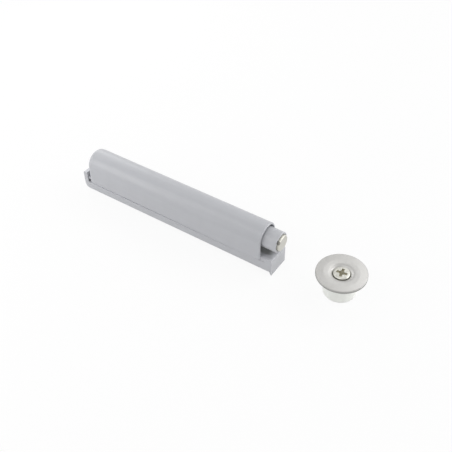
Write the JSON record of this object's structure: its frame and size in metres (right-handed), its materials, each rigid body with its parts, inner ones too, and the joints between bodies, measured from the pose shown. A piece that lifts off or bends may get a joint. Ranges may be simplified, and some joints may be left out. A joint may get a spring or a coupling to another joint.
{
  "type": "touch latch",
  "caption": "Magnetic touch latch: a sprung plunger in an arched housing on a screw-on base with a lipped front, and its round strike plate on a knock-in dowel.",
  "frame": {"origin": "middle of the base's mounting face, halfway between the two screw holes", "axes": "+X along the plunger, the way it comes out; +Z away from the panel that the base is screwed to"},
  "size_m": [0.1045, 0.0156, 0.0161],
  "materials": {
    "grey_moulding": "satin",
    "inner_moulding": "natural acetal",
    "magnet_nickel": "nickel plated",
    "spring_steel": "drawn wire",
    "zinc_steel": "zinc plated",
    "dowel_nylon": "natural nylon"
  },
  "bodies": {
    "base": {"mounting_base": "grey_moulding", "housing": "grey_moulding", "track_plate": "inner_moulding", "end_plug": "inner_moulding", "spring_rod": "spring_steel", "main_spring": "spring_steel", "strike_plate": "zinc_steel", "strike_screw": "zinc_steel", "strike_dowel": "dowel_nylon"},
    "plunger": {"plunger": "grey_moulding", "tip_cap": "grey_moulding", "pole_plate": "spring_steel", "magnet": "magnet_nickel", "cam_follower": "spring_steel"}
  },
  "joints": [
    {"name": "plunger_slide", "type": "slide", "parent": "base", "child": "plunger", "axis": [1, 0, 0], "range_m": [-0.0022, 0.037], "deforming": ["main_spring", "cam_follower"]}
  ]
}
